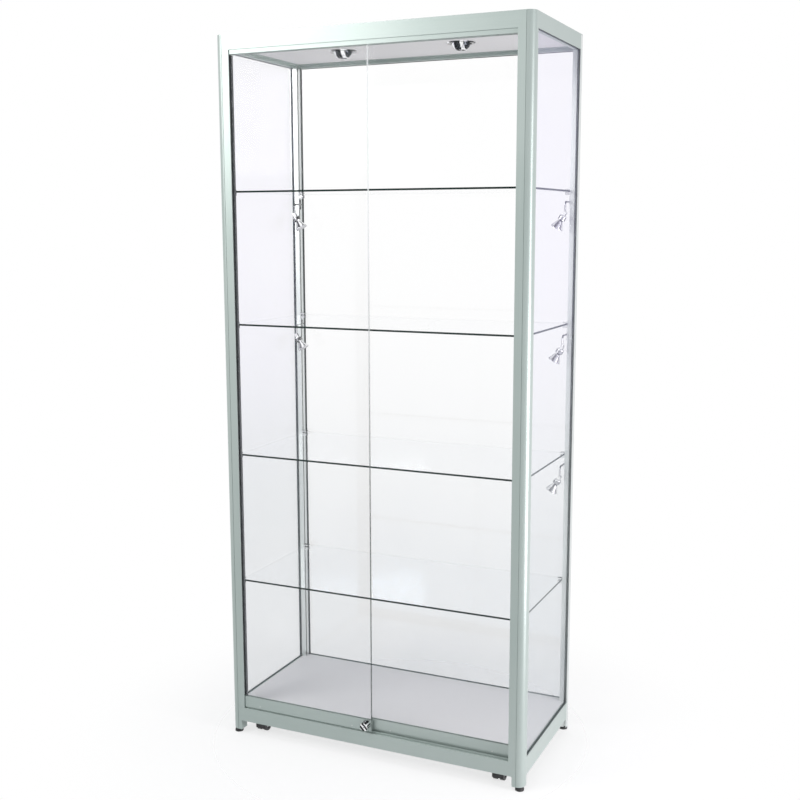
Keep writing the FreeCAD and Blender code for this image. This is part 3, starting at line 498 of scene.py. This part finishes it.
# Glazing beads
OUTER_BEAD, INNER_BEAD = 2.4 * MM, 1.3 * MM
BEAD_ON_RAIL = 0.4  # share of its width that a bead shows along the rails
BEAD_SECTION = (  # shares of a bead's width and depth
    (0.0, 0.0), (0.0, 0.9), (0.35, 1.0), (0.8, 0.7), (1.0, 0.3), (1.0, 0.0))


def add_bead(mesh, low, high, across, face, outward, width):
    """A soft bead round a pane's opening, on the pane's face and rounded away from it."""
    first, second = [axis for axis in range(3) if axis != across]
    depth = 0.5 * width
    corners = []
    for at_first, at_second in ((0, 0), (1, 0), (1, 1), (0, 1)):
        loop = []
        for share, lift in BEAD_SECTION:
            inward = width * share
            rise = inward * BEAD_ON_RAIL
            spot = [0.0, 0.0, 0.0]
            spot[first] = high[first] - inward if at_first else low[first] + inward
            spot[second] = high[second] - rise if at_second else low[second] + rise
            spot[across] = face + outward * depth * lift
            loop.append(mesh.verts.new(spot))
        corners.append(loop)
    for index in range(4):
        here, there = corners[index], corners[(index + 1) % 4]
        for step in range(len(BEAD_SECTION)):
            after = (step + 1) % len(BEAD_SECTION)
            mesh.faces.new((here[step], here[after], there[after], there[step]))


def add_pane_beads(mesh, low, high, across, outer, inner, outward):
    add_bead(mesh, low, high, across, outer, outward, OUTER_BEAD)
    add_bead(mesh, low, high, across, inner, -outward, INNER_BEAD)


def glazing_beads():
    front_post, rear_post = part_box("post_front_left"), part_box("post_rear_left")
    bottom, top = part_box("base_rail_left")[1][2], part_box("head_rail_left")[0][2]
    low = Vector((0, front_post[1][1], bottom))
    high = Vector((0, rear_post[0][1], top))
    for sign, side in SIDES.items():
        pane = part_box(f"side_glass_{side}")
        faces = sorted((pane[0][0], pane[1][0]), key=abs)
        mesh = bmesh.new()
        add_pane_beads(mesh, low, high, 0, outer=faces[1], inner=faces[0], outward=sign)
        finish_piece(f"side_bead_{side}", mesh, "case", gasket)
    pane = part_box("back_glass")
    low = Vector((rear_post[1][0], 0, bottom))
    high = Vector((-rear_post[1][0], 0, top))
    mesh = bmesh.new()
    add_pane_beads(mesh, low, high, 1, outer=pane[1][1], inner=pane[0][1], outward=1)
    finish_piece("back_bead", mesh, "case", gasket)


# Strips on the posts
BRUSH_ABOVE_TRACK, BRUSH_BELOW_TRACK = 6 * MM, 1 * MM
DOOR_END_GAP = 1 * MM
# Outlines in millimetres: reach from the post, and distance in from the strip's two edges
CARRIER_HALF = ((0, 0), (3, 0), (3, 3.0), (1.4, 3.0))
PILE_HALF = ((1.5, 3.2), (8.6, 2.2), (9.0, 3.6))


def add_brush_strip(mesh, half, sign, jamb, near, far, bottom, top):
    """An upright strip whose outline is the same from its near and its far edge."""
    outline = [(reach, near + inward * MM) for reach, inward in half]
    outline += [(reach, far - inward * MM) for reach, inward in reversed(half)]
    add_strip(mesh, [(sign * (jamb + reach * MM), y) for reach, y in outline], bottom, top)


def door_brushes():
    """Brush seals on the front posts, each beside the track that its door leaves empty."""
    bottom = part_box("door_track_lower")[1][2] + BRUSH_ABOVE_TRACK
    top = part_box("door_track_upper")[0][2] - BRUSH_BELOW_TRACK
    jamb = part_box("door_glass_left")[0][0] - DOOR_END_GAP
    left_shoe, right_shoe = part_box("door_shoe_left"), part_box("door_shoe_right")
    post_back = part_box("post_front_left")[1][1]
    for side, sign, near, far in (
            ("left", 1, left_shoe[1][1] + 0.6 * MM, post_back - 1.4 * MM),
            ("right", -1, left_shoe[0][1] - 0.4 * MM, right_shoe[0][1] - 1.4 * MM)):
        carrier, pile = bmesh.new(), bmesh.new()
        add_brush_strip(carrier, CARRIER_HALF, sign, jamb, near, far, bottom, top)
        add_brush_strip(pile, PILE_HALF, sign, jamb, near, far, bottom + 1 * MM, top - 1 * MM)
        finish_piece(f"door_brush_carrier_{side}", carrier, "case", gasket)
        finish_piece(f"door_brush_pile_{side}", pile, "case", brush)


# Gaps that the slot shade strips leave for the deck, the shelf clips, the lamp plates and the
# ceiling
SHADE_STRIP_OVER_DECK, SHADE_STRIP_OVER_SHELF = 2 * MM, 16 * MM
SHADE_STRIP_UNDER_SHELF, SHADE_STRIP_UNDER_CEILING = 48 * MM, 12 * MM
SHADE_STRIP_HALF, SHADE_STRIP_DEEP, SHADE_STRIP_SHALLOW = 2.3 * MM, 1.9 * MM, 0.4 * MM


def slot_shade_strips():
    """Dark strips in the clip slots of the posts between the shelf clips and lamp plates, put
    there as painted shade for the shadow inside the slots.
    """
    front_post, rear_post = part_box("post_front_right"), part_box("post_rear_right")
    levels = [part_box(f"glass_shelf_{shelf}")[0][2] for shelf in SHELVES]
    bottoms = [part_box("base_deck")[1][2] + SHADE_STRIP_OVER_DECK]
    bottoms += [level + SHADE_STRIP_OVER_SHELF for level in levels]
    tops = [level - SHADE_STRIP_UNDER_SHELF for level in levels]
    tops += [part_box("ceiling_panel")[0][2] - SHADE_STRIP_UNDER_CEILING]
    section = (  # along the post's face, and into the slot
        (-SHADE_STRIP_HALF, SHADE_STRIP_SHALLOW), (-SHADE_STRIP_HALF, SHADE_STRIP_DEEP), (SHADE_STRIP_HALF, SHADE_STRIP_DEEP),
        (SHADE_STRIP_HALF, SHADE_STRIP_SHALLOW), (0.0, 2 * SHADE_STRIP_SHALLOW))
    rear_face, rear_middle = rear_post[0][0], rear_post[1][1] - SLOT_INSET
    front_face, front_middle = front_post[1][1], front_post[1][0] - SLOT_INSET
    mesh = bmesh.new()
    for sign in SIDES:
        for bottom, top in zip(bottoms, tops):
            add_strip(mesh, [
                (sign * (rear_face + into), rear_middle + aside) for aside, into in section],
                bottom, top)
            add_strip(mesh, [
                (sign * (front_middle + aside), front_face - into) for aside, into in section],
                bottom, top)
    finish_piece("slot_shade_strips", mesh, "case", gasket)


# Fasteners
SCREW_HEAD = (  # shares of a screw head's radius and crown
    (0.0, 0.35), (0.42, 0.35), (0.46, 1.0), (0.75, 0.85), (0.97, 0.4), (1.0, 0.0), (0.0, 0.0))
CASTOR_PLATE, CASTOR_PLATE_THICK, CASTOR_SCREW_INSET = 40 * MM, 2.5 * MM, 6 * MM
LAMP_PLATE_THICK, LAMP_SCREWS_UNDER_SHELF = 2 * MM, (17 * MM, 37 * MM)
CLIP_REACH, CLIP_SCREW_UNDER_SHELF = 14 * MM, 4 * MM


def add_screw(mesh, centre, direction, radius):
    """A domed screw head with a socket; its radius is in millimetres."""
    crown = radius * 0.55
    outline = [(radius * across, crown * rise) for across, rise in SCREW_HEAD]
    add_lathe(mesh, outline, centre, direction, 24)


def fasteners():
    mesh = bmesh.new()
    low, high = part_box("castor_plates")
    below = high[2] - CASTOR_PLATE_THICK
    holes = (CASTOR_SCREW_INSET, CASTOR_PLATE - CASTOR_SCREW_INSET)
    for x in (low[0], high[0] - CASTOR_PLATE):
        for y in (low[1], high[1] - CASTOR_PLATE):
            for at_x in holes:
                for at_y in holes:
                    add_screw(mesh, (x + at_x, y + at_y, below), (0, 0, -1), 3)
    finish_piece("castor_screws", mesh, "case", steel)

    front_post, rear_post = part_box("post_front_right"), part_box("post_rear_right")
    rear_slot, front_slot = rear_post[1][1] - SLOT_INSET, front_post[1][0] - SLOT_INSET
    mesh = bmesh.new()
    for shelf, signs in LAMPS_BY_SHELF.items():
        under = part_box(f"glass_shelf_{shelf}")[0][2]
        for sign in signs:
            face = sign * (rear_post[0][0] - LAMP_PLATE_THICK)
            for drop in LAMP_SCREWS_UNDER_SHELF:
                add_screw(mesh, (face, rear_slot, under - drop), (-sign, 0, 0), 2.6)
    finish_piece("lamp_plate_screws", mesh, "case", plastic)

    mesh = bmesh.new()
    for shelf in SHELVES:
        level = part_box(f"glass_shelf_{shelf}")[0][2] - CLIP_SCREW_UNDER_SHELF
        for sign in SIDES:
            rear_end = (sign * (rear_post[0][0] - CLIP_REACH), rear_slot, level)
            front_end = (sign * front_slot, front_post[1][1] + CLIP_REACH, level)
            add_screw(mesh, rear_end, (-sign, 0, 0), 2)
            add_screw(mesh, front_end, (0, 1, 0), 2)
    finish_piece("clip_screws", mesh, "case", steel)


# Lamps and castors: turned outlines as radius and height in millimetres
LAMP_LEAN = math.radians(30.0)
LAMP_LENS = ((0, 45.2), (10, 45.4), (16, 46.0), (16, 46.7), (10, 46.4), (0, 46.2))
LAMP_RIM = ((16.2, 45.6), (17.3, 45.2), (17.45, 46.2), (16.9, 46.9), (16.2, 46.7))
LAMP_CAPSULE = ((0, 27), (4.2, 27), (4.6, 33), (4.2, 39), (2.4, 42), (0, 43))
COOLING_RING = ((9.9, 0), (10.5, 0.5), (10.5, 2.4), (9.9, 2.9))
COOLING_RING_STARTS = (11.4, 14.8, 18.2)
DOWNLIGHT_LENS = ((0, 1.0), (6, 1.2), (10.4, 2.0), (10.4, 2.8), (0, 2.8))
DOWNLIGHT_BEZEL = (
    (10.8, 0.2), (12.3, 0.1), (13.6, 1.0), (14.4, 2.2), (13.9, 2.6), (12.2, 1.2), (10.8, 0.9))
HUB_CAP = ((0, -1.0), (3, -1.0), (4, -1.6), (7.6, -2.0), (8.2, -2.8), (0, -2.8))


def lamp_axis(node):
    """Pivot of a spot lamp, from its joint, and the direction in which its bowl leans inward."""
    joint = next(item for item in frame["joints"] if item["name"] == f"{node}_tilt")
    pivot = Vector(joint["pos_m"])
    lean = -LAMP_LEAN if pivot.x > 0 else LAMP_LEAN
    return pivot, Vector((math.sin(lean), 0, -math.cos(lean)))


def spot_lamp_details():
    for shelf, signs in LAMPS_BY_SHELF.items():
        for sign in signs:
            node = f"spot_lamp_{SIDES[sign]}_{shelf}"
            pivot, aim = lamp_axis(node)
            for part, outline, starts, steps, material in (
                    ("lens", LAMP_LENS, (0,), 32, lens),
                    ("rim", LAMP_RIM, (0,), 48, holder_chrome),
                    ("capsule", LAMP_CAPSULE, (0,), 20, lens),
                    ("cooling_rings", COOLING_RING, COOLING_RING_STARTS, 32, holder_chrome)):
                mesh = bmesh.new()
                for start in starts:
                    add_lathe(mesh, outline, pivot, aim, steps, start)
                finish_piece(f"{node}_{part}", mesh, node, material)


def downlight_details():
    for side in SIDES.values():
        node = f"downlight_head_{side}"
        low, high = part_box(node)
        centre = ((low[0] + high[0]) / 2, (low[1] + high[1]) / 2, low[2])
        for part, outline, material in (
                ("lens", DOWNLIGHT_LENS, lens), ("bezel", DOWNLIGHT_BEZEL, chrome)):
            mesh = bmesh.new()
            add_lathe(mesh, outline, centre, (0, 0, 1), 48)
            finish_piece(f"{node}_{part}", mesh, node, material)


def castor_details():
    for end in ("front", "rear"):
        for side in SIDES.values():
            node = f"castor_wheel_{end}_{side}"
            low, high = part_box(node)
            middle = (Vector(low) + Vector(high)) / 2
            half_width = (high[0] - low[0]) / 2 / MM
            mesh = bmesh.new()
            for sign in SIDES:
                add_lathe(mesh, HUB_CAP, middle, (sign, 0, 0), start=half_width)
            finish_piece(f"{node}_caps", mesh, node, steel)


# Studio
def studio_world():
    """Soft pale light, with a white backdrop for the camera, metal and glass."""
    world = bpy.data.worlds.new("studio_world")
    bpy.context.scene.world = world
    world.use_nodes = True
    n = Nodes(world.node_tree)
    camera_ray, glossy_ray, glass_ray = [
        n.node("ShaderNodeLightPath", output=ray)
        for ray in ("Is Camera Ray", "Is Glossy Ray", "Is Transmission Ray")]
    seen = n.larger(n.larger(camera_ray, glossy_ray), glass_ray)
    light = n.node("ShaderNodeBackground", None, {"Color": (0.93, 0.95, 1.0, 1), "Strength": 0.5})
    backdrop = n.node("ShaderNodeBackground", None, {"Color": grey(1.0), "Strength": 1.0})
    n.node("ShaderNodeOutputWorld", None, {
        "Surface": n.node("ShaderNodeMixShader", None, {0: seen, 1: light, 2: backdrop})})


def studio_floor():
    """A pale floor that keeps the shadow and fades into the backdrop away from the case."""
    material, n = finish("studio_floor")
    grain = n.noise(n.place(), 30.0, 3.0)
    away = n.node("ShaderNodeVectorMath", {"operation": "LENGTH"}, {0: n.place()}, output="Value")
    n.surface({
        "Base Color": n.mixed(grain, grey(0.93), grey(0.95)),
        "Roughness": 0.7 + 0.1 * grain,
        "Specular IOR Level": 0.1,
        "Alpha": 0.30 - 0.30 * n.span(away, 0.40, 1.05),
    })
    bpy.ops.mesh.primitive_grid_add(x_subdivisions=8, y_subdivisions=8, size=8.0)
    floor = bpy.context.object
    floor.name = "studio_floor"
    floor.data.materials.append(material)


# Name, place, aim, width, height, power, colour
STUDIO_LIGHTS = (
    ("key_light", (-2.1, -2.6, 2.6), (0.0, 0.0, 1.5), 1.8, 1.8, 66.0, (1.0, 0.99, 0.98)),
    ("side_light", (2.35, -0.3, 0.45), (0.4, 0.0, 0.2), 1.3, 1.3, 38.0, (1.0, 0.95, 0.98)),
    ("corner_light", (2.3, -0.5, 1.5), (0.44, -0.2, 1.4), 0.4, 1.1, 13.0, (1.0, 0.98, 1.0)),
    ("top_light", (0.0, 0.0, 4.2), (0.0, 0.0, 0.0), 2.2, 2.2, 30.0, (1.0, 1.0, 1.0)),
)


def studio_lights():
    for name, place, aim, width, height, power, colour in STUDIO_LIGHTS:
        lamp = bpy.data.lights.new(name, "AREA")
        lamp.color = colour
        lamp.shape = "RECTANGLE"
        lamp.size, lamp.size_y = width, height
        lamp.energy = power
        holder = bpy.data.objects.new(name, lamp)
        holder.location = place
        look = Vector(aim) - Vector(place)
        holder.rotation_euler = look.to_track_quat("-Z", "Y").to_euler()
        bpy.context.scene.collection.objects.link(holder)


def photo_camera():
    """The camera of the photograph, from the case's edges in it."""
    eye = Vector((1.3050, -2.8617, 1.4823))
    yaw, pitch, roll = (math.radians(angle) for angle in (24.50, 8.94, -0.13))
    focal_pixels, frame_pixels, sensor = 1128.5, 800.0, 36.0
    forward = Vector((
        -math.sin(yaw) * math.cos(pitch), math.cos(yaw) * math.cos(pitch), -math.sin(pitch)))
    right = Vector((math.cos(yaw), math.sin(yaw), 0.0))
    up = right.cross(forward)
    across = right * math.cos(roll) + up * math.sin(roll)
    upward = up * math.cos(roll) - right * math.sin(roll)
    data = bpy.data.cameras.new("photo_camera")
    data.sensor_fit = "HORIZONTAL"
    data.sensor_width = sensor
    data.lens = sensor * focal_pixels / frame_pixels
    data.clip_end = 50.0
    camera = bpy.data.objects.new("photo_camera", data)
    turn = Matrix((across, upward, -forward)).transposed().to_4x4()
    camera.matrix_world = Matrix.Translation(eye) @ turn
    bpy.context.scene.collection.objects.link(camera)
    bpy.context.scene.camera = camera


dress_frame()
glazing_beads()
door_brushes()
slot_shade_strips()
fasteners()
spot_lamp_details()
downlight_details()
castor_details()

bpy.context.scene.view_settings.view_transform = "Standard"
bpy.context.scene.cycles.transparent_max_bounces = 32  # sight lines cross many panes and shelves
studio_world()
studio_floor()
studio_lights()
photo_camera()
